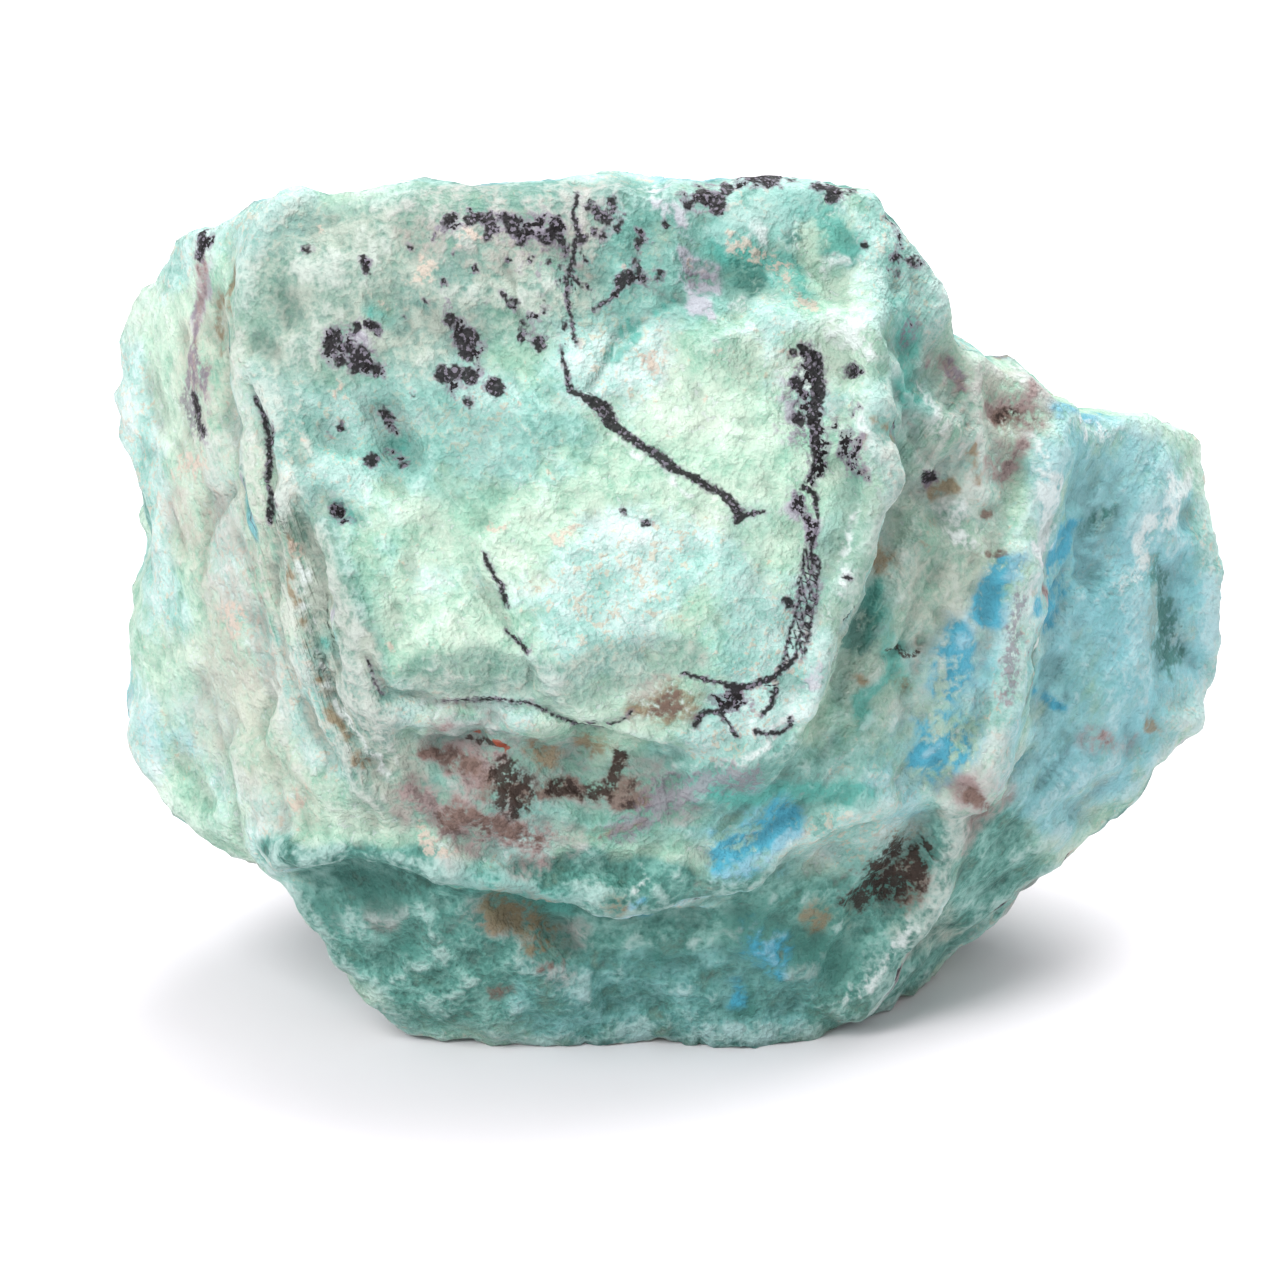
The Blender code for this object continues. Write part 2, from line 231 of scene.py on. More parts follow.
blackVeins = {  # manganese oxide in the cracks
    "crownStem": [
        (577, 195, 2.1), (575, 215, 2.4), (577, 236, 2.8), (573, 256, 2.4), (567, 282, 2.8),
        (567, 300, 2.4), (571, 322, 2.4), (577, 344, 2.1),
    ],
    "crownTwig": [(557, 281, 1.8), (572, 279, 2.1), (590, 290, 1.8)],
    "stemFoot": [(561, 346, 2.1), (565, 367, 2.4), (572, 389, 3.1), (582, 395, 3.5)],
    "faceBand": [
        (582, 395, 3.5), (592, 401, 7), (603, 410, 8.4), (613, 426, 6.3), (634, 441, 4.2), (652, 452, 4.9),
        (664, 461, 5.2), (682, 472, 3.8), (704, 485, 3.8), (722, 493, 4.5), (735, 505, 5.6),
        (742, 515, 4.9), (737, 522, 3.5),
    ],
    "bandTip": [(742, 516, 4.2), (763, 512, 2.1)],
    "knotArm": [(594, 309, 2.1), (610, 299, 2.1), (624, 286, 2.8)],
    "rimTop": [
        (800, 346, 4), (812, 356, 7), (816, 372, 8), (819, 390, 8), (817, 405, 7), (813, 420, 6),
        (815, 440, 4.5), (814, 464, 2.8), (811, 476, 2.1),
    ],
    "rimSide": [
        (804, 487, 3.5), (815, 494, 3.5), (818, 506, 3.1), (818, 522, 1.8), (813, 542, 2.2),
        (811, 567, 1.9), (809, 588, 1.5), (808, 604, 2.0), (803, 628, 1.5), (798, 652, 1.6),
        (788, 667, 2.8), (772, 676, 3.6), (752, 684, 4.0), (736, 689, 4.5),
    ],
    "rimStrand": [(806, 548, 1.4), (801, 575, 1.5), (798, 600, 1.4), (790, 640, 1.4), (781, 668, 1.5)],
    "rimStrandOuter": [(818, 560, 1.4), (817, 590, 1.8), (812, 620, 1.8), (805, 655, 1.4)],
    "cornerLeft": [(736, 688, 4.2), (722, 682, 2.8), (707, 679, 2.8), (684, 676, 1.8)],
    "cornerDown": [(736, 692, 4.2), (733, 702, 3.5), (719, 711, 3.5), (700, 716, 3.1), (695, 727, 2.8)],
    "cornerRoot": [(719, 712, 2.8), (727, 721, 2.1), (737, 737, 2.4)],
    "cornerCurl": [(754, 730, 2.1), (765, 734, 2.1), (781, 730, 2.1), (792, 725, 2.4), (790, 717, 1.8)],
    "cornerSpur": [(763, 714, 2.8), (771, 703, 2.8), (774, 690, 2.8)],
    "lowFaceVein": [(484, 553, 2.1), (491, 568, 2.4), (501, 584, 2.4), (507, 606, 2.1)],
    "lowFaceTail": [(508, 628, 1.8), (518, 641, 2.4), (527, 650, 3.5)],
    "noseCrack": [
        (441, 702, 0.7), (475, 698, 1.2), (497, 699, 1.4), (516, 703, 1.6), (531, 701, 2.0),
        (542, 708, 1.8), (558, 718, 0.9), (576, 724, 1.7), (602, 724, 1.7), (618, 722, 0.9),
        (632, 713, 1.2),
    ],
    "noseSide": [(366, 658, 1), (372, 678, 1.1), (382, 697, 1)],
    "leftFold": [
        (254, 398, 2.1), (262, 412, 2.8), (269, 430, 3.1), (270, 452, 3.5), (268, 472, 3.1),
        (270, 494, 3.5), (272, 523, 2.8),
    ],
    "farLeftTop": [(204, 231, 4.2), (199, 258, 4.2)],
    "farLeftLow": [(193, 394, 3.5), (198, 412, 3.5), (203, 436, 2.8)],
}

blackSpots = {  # round and ragged grains of it: (x, y, radius)
    "topRow": [
        (447, 219, 6), (441, 228, 5.5), (469, 219, 7), (479, 217, 6), (490, 219, 7), (492, 229, 6),
        (488, 238, 5.5), (505, 219, 6), (514, 221, 7), (508, 231, 6), (520, 239, 7), (534, 233, 4.5),
        (523, 225, 4.5), (546, 240, 7), (553, 230, 7), (557, 221, 6), (561, 240, 6), (613, 202, 6),
    ],
    "besideStem": [
        (590, 206, 5), (598, 214, 6), (613, 212, 5), (617, 228, 5), (603, 240, 5), (586, 262, 4),
        (566, 250, 5), (560, 268, 4), (549, 262, 4), (541, 296, 4), (546, 309, 4), (580, 240, 7),
        (573, 262, 6.5), (605, 217, 7), (609, 222, 5.5), (594, 230, 5.5), (622, 219, 4.5), (564, 325, 4.5),
    ],
    "knot": [
        (641, 240, 6), (635, 258, 6), (621, 281, 7.5), (628, 278, 8.5), (638, 275, 5.5), (645, 283, 5),
        (661, 275, 5.5), (665, 224, 5.5),
    ],
    "topRight": [
        (690, 204, 6), (702, 196, 9.5), (716, 204, 11), (725, 190, 7.5), (734, 171, 5.5), (752, 174, 8.5),
        (770, 178, 9.5), (790, 177, 6), (788, 168, 6), (816, 187, 6), (832, 194, 8.5), (850, 190, 5.5),
        (866, 246, 5.5), (882, 196, 5.5), (890, 216, 6), (897, 258, 5.5), (898, 271, 5.5), (914, 259, 6),
    ],
    "ring": [
        (335, 335, 8.5), (332, 349, 8.5), (342, 362, 7.5), (356, 328, 7), (368, 326, 7), (378, 331, 6),
        (362, 358, 11), (375, 370, 7.5), (348, 346, 6), (356, 370, 6),
    ],
    "threeDots": [
        (451, 320, 8.5), (468, 338, 12), (467, 353, 8.5), (444, 374, 9.5), (456, 372, 7.5), (471, 376, 8.5),
        (495, 387, 11), (469, 402, 6),
    ],
    "chain": [
        (505, 294, 4.5), (514, 303, 5.5), (529, 320, 5.5), (522, 325, 4.5), (523, 338, 6), (538, 344, 7),
    ],
    "crownDots": [
        (476, 269, 5), (455, 252, 4), (530, 258, 4), (520, 272, 4), (566, 246, 4), (434, 236, 4),
        (426, 300, 3), (486, 302, 3), (404, 318, 3), (363, 262, 6), (367, 269, 6), (307, 249, 5.5),
        (443, 284, 6), (411, 249, 4.5), (507, 262, 5.5), (413, 394, 3.5), (645, 523, 5.5), (624, 512, 3.5),
    ],
    "leftHollow": [(382, 411, 5.5), (389, 421, 6), (341, 426, 5.5), (372, 460, 7.5), (404, 465, 5.5)],
    "roundPit": [(338, 511, 9.5)],
    "besideRim": [
        (792, 354, 6), (796, 384, 7), (799, 418, 7.5), (852, 373, 7.5), (788, 602, 5.5), (846, 578, 4.5),
    ],
    "flank": [(928, 478, 7.5)],
}

stains = {  # soft patches: strokes of (x, y, half width)
    "soot": [  # close grains of the same oxide
        [(443, 224, 9), (449, 214, 7)], [(470, 216, 7), (492, 224, 12), (520, 230, 14), (552, 232, 14)],
        [(697, 198, 13), (716, 208, 14)], [(734, 173, 5), (752, 176, 9), (774, 179, 8)],
        [(822, 190, 8), (842, 192, 8)], [(895, 214, 6), (898, 256, 5), (898, 270, 4)], (913, 258, 6),
        [(336, 334, 11), (334, 356, 12)], [(356, 328, 9), (374, 330, 6)], [(360, 360, 12), (376, 371, 8)],
        (451, 320, 10), [(468, 340, 13), (468, 352, 8)], (446, 374, 12), (471, 376, 11), (495, 387, 9),
        [(505, 296, 4), (513, 306, 4)], (528, 322, 6), [(524, 340, 5), (538, 342, 6)], (637, 258, 5),
        [(628, 279, 9), (640, 283, 5)], (612, 298, 4), (661, 275, 4), (641, 240, 5),
        [(806, 350, 9), (812, 366, 16), (814, 392, 18), (812, 418, 16), (814, 444, 11), (812, 470, 8)],
        [(800, 500, 9), (806, 560, 7)], (850, 373, 8), [(842, 428, 15), (856, 465, 15)], (858, 410, 7),
        (909, 320, 6), (928, 478, 8), [(382, 414, 7), (391, 424, 4)], (341, 426, 5),
        [(374, 460, 7), (404, 465, 4)], (338, 511, 8), (308, 249, 5), (365, 266, 8),
        [(205, 228, 7), (198, 262, 6)], [(742, 700, 12), (715, 708, 9)],
    ],
    "haze": [  # grey dust of it
        [(500, 232, 16), (550, 240, 18)], (350, 348, 18), (471, 377, 12), (451, 320, 9), (538, 279, 6),
        (697, 273, 7), [(796, 382, 14), (800, 442, 16)], [(803, 500, 12), (808, 560, 11), (804, 620, 9)],
        [(620, 830, 22), (680, 790, 26), (740, 770, 20)], [(1026, 600, 8), (1008, 690, 15)], (536, 228, 14),
        (909, 328, 12), (952, 378, 18), (928, 478, 14), (708, 200, 22), (850, 450, 20),
        [(196, 300, 8), (194, 370, 8), (198, 430, 10)], (527, 650, 12), (740, 700, 22),
    ],
    "mauve": [  # thin iron stain over the green
        [(440, 745, 14), (476, 768, 26), (500, 772, 16)], [(412, 795, 16), (470, 824, 30), (542, 848, 24)],
        [(1000, 404, 14), (1030, 396, 12), (1036, 424, 14)], [(1000, 470, 10), (1024, 446, 9)],
        [(944, 366, 10), (954, 390, 10)], (1100, 740, 16), (928, 478, 12), (975, 795, 20),
        [(201, 250, 7), (197, 330, 6), (197, 400, 8)],
    ],
    "brown": [  # iron oxide
        [(436, 745, 10), (470, 765, 13)], [(500, 782, 18), (518, 796, 16)], (612, 768, 12),
        [(545, 790, 12), (600, 786, 14), (655, 794, 12)], [(450, 812, 15), (500, 832, 17), (545, 848, 13)],
        [(650, 708, 10), (672, 704, 15)], [(905, 868, 30), (885, 900, 18)],
        [(1006, 410, 14), (1028, 416, 15)], [(983, 557, 7), (995, 553, 6)], (984, 508, 7),
        [(858, 445, 12), (862, 475, 8)], (980, 800, 14), (546, 964, 11), (502, 990, 10),
    ],
    "deepBrown": [
        [(504, 774, 13), (518, 789, 20), (508, 806, 15)], [(614, 762, 12), (612, 778, 9)], (634, 792, 10),
        [(556, 790, 9), (605, 788, 12)], [(926, 846, 11), (905, 866, 23), (874, 886, 19), (852, 899, 10)],
        [(1002, 410, 5), (1016, 404, 6), (1030, 412, 5)], [(470, 738, 4), (500, 748, 4)],
        [(892, 643, 5), (918, 650, 4)],
    ],
    "ochre": [
        [(640, 714, 18), (664, 706, 26), (690, 712, 18)], (588, 744, 18), [(640, 822, 12), (600, 832, 8)],
        [(975, 455, 6), (985, 480, 5)], (940, 495, 12), (885, 430, 6), (862, 688, 8), (907, 683, 8),
        (880, 566, 17), [(500, 912, 24), (544, 932, 20)], (620, 898, 16), (820, 915, 20),
        [(233, 262, 4), (228, 310, 4), (222, 350, 4)], (540, 755, 16),
        [(285, 540, 6), (300, 620, 6), (330, 700, 6), (360, 760, 6)], (1155, 722, 12), (655, 795, 8),
        (930, 540, 16),
    ],
    "red": [[(490, 740, 5), (502, 754, 5)], (480, 728, 3), (441, 745, 5), (520, 760, 4)],
    "salmon": [
        [(742, 246, 12), (764, 262, 16), (780, 276, 12)], [(792, 296, 11), (808, 302, 9)], (700, 262, 8),
        (778, 350, 9), (722, 354, 10), (462, 243, 14), (418, 270, 14), (393, 296, 8), (376, 292, 6),
        (326, 228, 7), (340, 393, 8), (297, 434, 8), (527, 396, 7), (620, 269, 8), (293, 557, 9),
        [(490, 531, 5), (512, 531, 4)], (482, 543, 4), [(564, 542, 5), (579, 531, 4)], (187, 466, 16),
        (236, 620, 18), (300, 800, 14), [(450, 855, 12), (420, 835, 10)], (1200, 430, 10), (380, 650, 5),
        (700, 395, 6), (675, 437, 5), (660, 360, 14),
    ],
    "teal": [
        [(730, 250, 26), (770, 262, 30), (800, 285, 18)], [(780, 200, 22), (830, 215, 24), (850, 260, 16)],
        (712, 215, 14), [(640, 330, 6), (610, 370, 5)], [(676, 297, 4), (628, 325, 4), (602, 368, 4)],
        (395, 440, 18), (345, 505, 14), (380, 310, 14), [(700, 800, 10), (860, 790, 16)],
        [(880, 600, 18), (900, 680, 16), (856, 716, 12)], [(900, 300, 16), (915, 400, 16)],
        [(480, 880, 20), (560, 900, 20)], (330, 640, 12),
    ],
    "deepTeal": [
        [(748, 285, 14), (735, 262, 12)], (800, 232, 14), (402, 946, 20), [(352, 878, 18), (392, 902, 22)],
        [(520, 905, 28), (550, 940, 24)], [(760, 940, 40), (830, 960, 30)],
        [(1150, 560, 12), (1160, 620, 24), (1166, 665, 16)], (330, 920, 20),
        [(860, 640, 20), (880, 600, 14)], (660, 960, 20), (745, 1005, 26), (384, 442, 16), (1090, 520, 20),
    ],
    "blue": [
        [(1001, 574, 20), (996, 608, 22)], [(964, 632, 19), (958, 660, 28), (951, 688, 20)],
        [(945, 738, 40), (938, 760, 30)], [(790, 818, 20), (758, 838, 30), (722, 864, 24)], (1015, 505, 7),
        [(1064, 405, 12), (1100, 420, 9)], (735, 1000, 14), [(1062, 520, 10), (1048, 620, 10)],
        (1050, 700, 10), (640, 905, 10), (765, 950, 24),
    ],
    "pale": [  # chalky white crust; along the lobe's ridge, a painted highlight
        [(824, 318, 14), (850, 330, 18), (868, 350, 14)], [(862, 400, 6), (866, 430, 8), (868, 460, 7)],
        [(650, 185, 10), (668, 192, 8)], [(862, 510, 6), (850, 545, 6), (835, 585, 6), (822, 640, 6)],
        [(806, 690, 5), (770, 745, 5), (720, 760, 5)],
        [(598, 424, 5), (640, 456, 4), (690, 490, 4), (722, 512, 5)],
        [(300, 560, 4), (320, 640, 4), (350, 720, 4), (390, 790, 4)], (768, 240, 12),
        [(818, 272, 13), (850, 262, 11)], (735, 300, 8), [(1055, 480, 12), (1030, 590, 9)],
        [(1190, 475, 10), (1124, 595, 12)], [(905, 930, 9), (855, 1000, 8)], (230, 560, 12), (985, 480, 7),
        (640, 880, 9), [(1085, 425, 11), (1112, 437, 11)], [(955, 520, 18), (975, 545, 12)],
        [(1036, 440, 9), (1042, 530, 12)], (890, 775, 10), [(1010, 360, 8), (1040, 375, 8)],
        [(925, 395, 7), (935, 425, 8)],
    ],
    "lilac": [
        [(668, 200, 9), (680, 226, 10)], [(690, 252, 13), (702, 278, 17)], [(696, 302, 10), (708, 324, 9)],
        (716, 346, 6), (660, 182, 10), [(786, 386, 15), (790, 432, 14)], [(790, 500, 12), (800, 530, 9)],
        [(820, 660, 6), (812, 690, 6)], [(205, 260, 8), (196, 330, 10)], (545, 330, 9), (350, 345, 10),
        (475, 378, 8), (1040, 560, 12), [(512, 236, 7), (552, 238, 8)],
    ],
}

# Low relief on that side: how far it stands out in mm, negative for a groove or pit, and its line.
relief = {
    "foldEdge": (0.7, [
        (288, 202, 12), (266, 236, 12), (250, 270, 11), (246, 320, 11), (252, 365, 10), (268, 405, 10),
        (282, 450, 10), (286, 525, 9),
    ]),
    "foldCrack": (-0.6, [(254, 385, 6), (264, 415, 6), (269, 440, 6), (269, 480, 6), (272, 523, 5)]),
    "bundleOuter": (0.25, [(262, 560, 9), (270, 620, 9), (288, 690, 9), (315, 760, 9), (355, 815, 8)]),
    "bundleMiddle": (0.25, [
        (282, 500, 8), (294, 570, 8), (304, 640, 8), (322, 700, 8), (348, 765, 8), (385, 815, 7),
    ]),
    "bundleInner": (0.25, [
        (304, 480, 8), (320, 530, 8), (332, 590, 8), (340, 650, 8), (356, 708, 8), (384, 765, 8),
        (412, 800, 6),
    ]),
    "bundleGroove": (-0.3, [(293, 500, 5), (306, 570, 5), (316, 640, 5), (334, 705, 5), (362, 765, 5)]),
    "bundleSlit": (-0.25, [(273, 560, 5), (284, 640, 5), (302, 705, 5), (330, 770, 5)]),
    "noseEdge": (0.3, [
        (345, 560, 7), (352, 610, 7), (358, 655, 7), (368, 695, 7), (384, 716, 7), (441, 727, 6),
        (480, 720, 5),
    ]),
    "noseSlit": (-0.35, [(366, 655, 5), (373, 680, 5), (384, 700, 5), (441, 706, 4)]),
    "noseCrack": (-0.3, [(441, 706, 4), (497, 702, 4), (540, 710, 4), (576, 727, 4), (620, 724, 4)]),
    "greenCrease": (-0.35, [(680, 296, 5), (654, 311, 6), (628, 325, 6), (609, 359, 6), (591, 389, 5)]),
    "flakeEdge": (-0.25, [(505, 258, 4), (513, 300, 4), (528, 332, 4), (545, 348, 4)]),
    "beigeLump": (0.55, (462, 243, 17)),
    "knotLump": (0.25, (624, 281, 14)),
    "ringLump": (0.3, (352, 345, 18)),
    "roundPit": (-0.6, (339, 511, 7)),
    "leftHollow": (-0.2, [(380, 428, 10), (392, 450, 12)]),
    "rimLedge": (0.5, [(792, 328, 9), (830, 318, 11), (866, 334, 12), (872, 356, 12)]),
    "rimBeads": (0.45, [(866, 404, 10), (868, 428, 12), (868, 462, 9)]),
    "rimNotch": (-0.4, (852, 374, 9)),
    "rimLip": (0.5, [
        (874, 490, 11), (866, 530, 11), (846, 578, 10), (834, 612, 9), (824, 650, 9), (812, 695, 9),
        (796, 730, 8),
    ]),
    "besideRim": (-0.35, [(896, 520, 12), (884, 565, 12), (866, 605, 12), (852, 650, 12), (838, 700, 10)]),
    "tealStep": (0.4, [(700, 350, 9), (748, 330, 10), (792, 316, 10)]),
    "flankRipple": (0.35, [(872, 330, 7), (890, 370, 7), (916, 412, 7), (948, 438, 6)]),
    "flankRippleLow": (0.35, [(880, 398, 7), (902, 440, 7), (930, 466, 6)]),
    "flankCrease": (-0.35, [(884, 655, 6), (905, 650, 6), (926, 640, 5)]),
    "lobeRidge": (0.5, [
        (1052, 440, 12), (1022, 520, 12), (1008, 600, 12), (1004, 700, 12), (978, 800, 12),
    ]),
    "ledgeRim": (0.25, [
        (290, 850, 11), (350, 858, 11), (430, 862, 11), (540, 884, 11), (640, 897, 11), (720, 880, 11),
        (800, 830, 11), (850, 802, 11), (945, 800, 10),
    ]),
    "brownKnob": (0.3, (505, 792, 16)),
    "ochreKnob": (0.3, (662, 704, 14)),
    "underHollow": (-0.8, [(500, 915, 20), (545, 925, 20)]),
}


# The skin: a closed surface of two parameters, the turn about the upright and the angle down from
# the top. Columns lie closer together in front and rings round the waist. It is wrapped on the solid.

skin = {
    "around": 400,  # columns
    "rings": 246,
    "frontCrowding": 0.4,  # how much closer the columns lie in front
    "waistCrowding": 0.45,  # how much closer the rings lie half way down
    "centre": (0.0, 0.0, 22.5),  # mm
    "startRadius": 70.0,  # mm, outside the stone
    "weld": 0.01,  # mm, below which the solid's corners are merged
    "rounding": 2,  # levels of subdivision that blunt the solid's facets
}


def skinDirections():
    # Way out from the centre at turn a from the front and angle t down from the top:
    # (sin a sin t, -cos a sin t, cos t)
    row = np.arange(1, skin["rings"]) / skin["rings"]
    column = np.arange(skin["around"]) / skin["around"]
    angle = np.pi * row + skin["waistCrowding"] * np.sin(2 * np.pi * row) / 2
    turn = 2 * np.pi * column - skin["frontCrowding"] * np.sin(2 * np.pi * column)
    angle, turn = np.meshgrid(angle, turn, indexing="ij")
    ways = (np.sin(turn) * np.sin(angle), -np.cos(turn) * np.sin(angle), np.cos(angle))
    return np.vstack(((0, 0, 1), np.stack(ways, axis=-1).reshape(-1, 3), (0, 0, -1)))


def skinFaces():
    # Quads between neighbouring rings, and a fan of triangles at each pole
    count, rows = skin["around"], skin["rings"] - 1
    ring = 1 + np.arange(rows * count).reshape(rows, count)
    beside = np.roll(ring, -1, axis=1)
    quads = np.stack((ring[:-1], ring[1:], beside[1:], beside[:-1]), axis=-1).reshape(-1, 4)
    last = rows * count + 1
    top = [(0, a, b) for a, b in zip(ring[0].tolist(), beside[0].tolist())]
    bottom = [(last, b, a) for a, b in zip(ring[-1].tolist(), beside[-1].tolist())]
    return quads.tolist() + top + bottom


def softened(values, times):
    # Each place takes the mean of its four neighbours on the skin, and the poles of their ring's
    rows = skin["rings"] - 1
    grid = values[1:-1].reshape(rows, skin["around"], -1)
    for _ in range(times):
        above = np.vstack((grid[:1].mean(axis=1, keepdims=True).repeat(skin["around"], 1), grid[:-1]))
        below = np.vstack((grid[1:], grid[-1:].mean(axis=1, keepdims=True).repeat(skin["around"], 1)))
        grid = (above + below + np.roll(grid, 1, axis=1) + np.roll(grid, -1, axis=1)) / 4
    ends = grid[0].mean(axis=0), grid[-1].mean(axis=0)
    return np.vstack((ends[0], grid.reshape(len(values) - 2, -1), ends[1])).reshape(values.shape)


def smoothCopy(node):
    # The solid with its doubles merged and its facets rounded over, to wrap the skin on
    mesh = node.data.copy()
    solid = bmesh.new()
    solid.from_mesh(mesh)
    bmesh.ops.remove_doubles(solid, verts=solid.verts, dist=skin["weld"] * mm)
    solid.to_mesh(mesh)
    solid.free()
    copy = bpy.data.objects.new("wrapTarget", mesh)
    scene.collection.objects.link(copy)
    rounding = copy.modifiers.new("rounding", "SUBSURF")
    rounding.levels = rounding.render_levels = skin["rounding"]
    return copy


def readRows(rows, name):
    # Three numbers of each corner or normal, as rows of an array
    values = np.empty(3 * len(rows))
    rows.foreach_get(name, values)
    return values.reshape(-1, 3)


def wrapSkin():
    # A ball of the skin's grid, drawn in along its own normals until it meets the solid
    target = smoothCopy(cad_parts["raw_chrysocolla"])
    mesh = bpy.data.meshes.new("stoneSkin")
    start = np.array(skin["centre"]) + skin["startRadius"] * skinDirections()
    mesh.from_pydata((start * mm).tolist(), [], skinFaces())
    stone = bpy.data.objects.new("stoneSkin", mesh)
    scene.collection.objects.link(stone)
    wrap = stone.modifiers.new("wrap", "SHRINKWRAP")
    wrap.wrap_method = "PROJECT"
    wrap.use_negative_direction = True
    wrap.use_positive_direction = False
    wrap.target = target
    graph = bpy.context.evaluated_depsgraph_get()
    wrapped = bpy.data.meshes.new_from_object(stone.evaluated_get(graph))
    stone.modifiers.clear()
    stone.data = wrapped
    bpy.data.objects.remove(target)
    wrapped.name = "stoneSkin"
    return stone


stone = wrapSkin()
print("skin wrapped:", len(stone.data.vertices), "vertices")

# Beds of the rock hang across it like a bowl. They are drawn out along the bowl, so that noise on
# them makes long layers.
beds = {
    "middle": 600,  # on the frame
    "leftSlope": 3.0,
    "leftBend": 6.0,  # mm
    "rightSlope": 1.5,
    "rightBend": 8.0,  # mm
    "alongShrink": 0.5,
    "awayShrink": 0.55,
}


def bedPlaces(places):
    # (across, up - slope * (sqrt(across^2 + bend^2) - bend), away), across and away shrunk
    spots = onFrame(places)
    across = (spots[:, 0] - beds["middle"]) / unitsPerMm
    left = across < 0
    slope = np.where(left, beds["leftSlope"], beds["rightSlope"])
    bend = np.where(left, beds["leftBend"], beds["rightBend"])
    up = (look["frameSide"] / 2 - spots[:, 1]) / unitsPerMm
    height = up - slope * (np.sqrt(across**2 + bend**2) - bend)
    away = (places - np.array(look["aim"])) @ awayWay
    return np.stack((across * beds["alongShrink"], height, away * beds["awayShrink"]), axis=1)


smootherPlaces = [[(470, 330, 150), (690, 400, 140)], [(450, 560, 120), (700, 570, 120)],
                  [(170, 300, 70), (170, 720, 80)], [(1120, 480, 70), (1130, 720, 80)]]
bedded = {  # how strongly the beds show, and where
    "bundle": (0.5, [[(270, 520, 45), (310, 660, 50), (350, 740, 40)]]),
    "girdle": (0.5, [[(580, 800, 40), (660, 815, 55), (820, 780, 50)]]),
    "flank": (0.6, [[(905, 300, 40), (935, 430, 50)]]),
    "flankFoot": (0.35, [[(900, 580, 60), (880, 740, 60)]]),
    "farLeft": (0.3, [[(190, 320, 50), (200, 520, 60)]]),
    "lobe": (0.45, [[(1100, 480, 70), (1110, 640, 80), (1020, 780, 60)]]),
}
texture = {  # size and height in mm, and the noise's seed and octaves
    "bumps": (2.2, 0.12, 11, 2),
    "grains": (0.8, 0.05, 21, 1),
    "scars": ((5.5, 0.6, 31), (2.4, 0.4, 32), (1.2, 0.14, 33)),
    "terraces": (4.5, 0.3, 61, 4),
    "bedRidges": (2.0, 0.5, 41, 3),
    "scarMiddle": 0.25,  # of the scar noise: what is above it stands out
    "treads": 5,  # terraces in the noise's height of 1
    "steepness": 2.5,  # of the risers between them
    "faceShare": 0.45,  # of the scars and terraces, on the smoother places
    "bedElsewhere": 0.12,
}
fades = {  # from where to where these come in
    "facing": (0.05, 0.35),  # the turn of the wall to the eye, as a cosine
    "face": (0.2, 0.6),  # the glow of the smoother places
    "relief": (0.1, 0.6),  # the turn of the wall to the way it was wrapped, as a cosine
    "grounds": (0.05, 0.7),  # the glow of a broad tone's strokes
}


def reliefHeights(places, facing, face, bedShare):
    # How far each place stands out, in mm: bumps, grains, scars, terraces, the beds' ridges
    # 1 - 2|noise|, and the drawn lines
    total = np.zeros(len(places))
    for name in ("bumps", "grains"):
        size, height, seed, octaves = texture[name]
        total += height * cloudNoise(places, size, seed, octaves)
    rough = 1 - (1 - texture["faceShare"]) * face
    for size, height, seed in texture["scars"]:
        total += height * rough * (scarNoise(places, size, seed) - texture["scarMiddle"])
    size, height, seed, octaves = texture["terraces"]
    rolling = cloudNoise(places, size, seed, octaves)
    total += height * rough * terraces(rolling, texture["treads"], texture["steepness"])
    size, height, seed, octaves = texture["bedRidges"]
    ridges = 1 - 2 * np.abs(cloudNoise(bedPlaces(places), size, seed, octaves))
    total += height * bedShare * ridges
    spots = wandering(onFrame(places), places, "relief")
    for height, line in relief.values():
        total += height * facing * glow(spots, [line])
    return total


basePlaces = readRows(stone.data.vertices, "co") / mm
baseNormals = readRows(stone.data.vertex_normals, "vector")
facing = smoothStep(*fades["facing"], -baseNormals @ awayWay)
face = facing * smoothStep(*fades["face"], glow(onFrame(basePlaces), smootherPlaces))
bedShare = [strong * glow(onFrame(basePlaces), strokes) for strong, strokes in bedded.values()]
bedShare = np.maximum(facing * np.max(bedShare, axis=0), texture["bedElsewhere"])
heights = reliefHeights(basePlaces, facing, face, bedShare)
# Less where the skin runs steeply into the wall, so that it doesn't fold over itself
heights *= smoothStep(*fades["relief"], np.sum(baseNormals * skinDirections(), axis=1))
places = basePlaces + baseNormals * heights[:, None]
places[:, 2] = np.maximum(places[:, 2], 0.0)
stone.data.vertices.foreach_set("co", (places * mm).ravel())
stone.data.update()
print("relief raised")


def keep(name, values):
    # Stores one number, or three, for each place of the skin, for the material to read
    kind, field = ("FLOAT", "value") if values.ndim == 1 else ("FLOAT_VECTOR", "vector")
    attribute = stone.data.attributes.new(name, kind, "POINT")
    attribute.data.foreach_set(field, values.astype(np.float32).ravel())


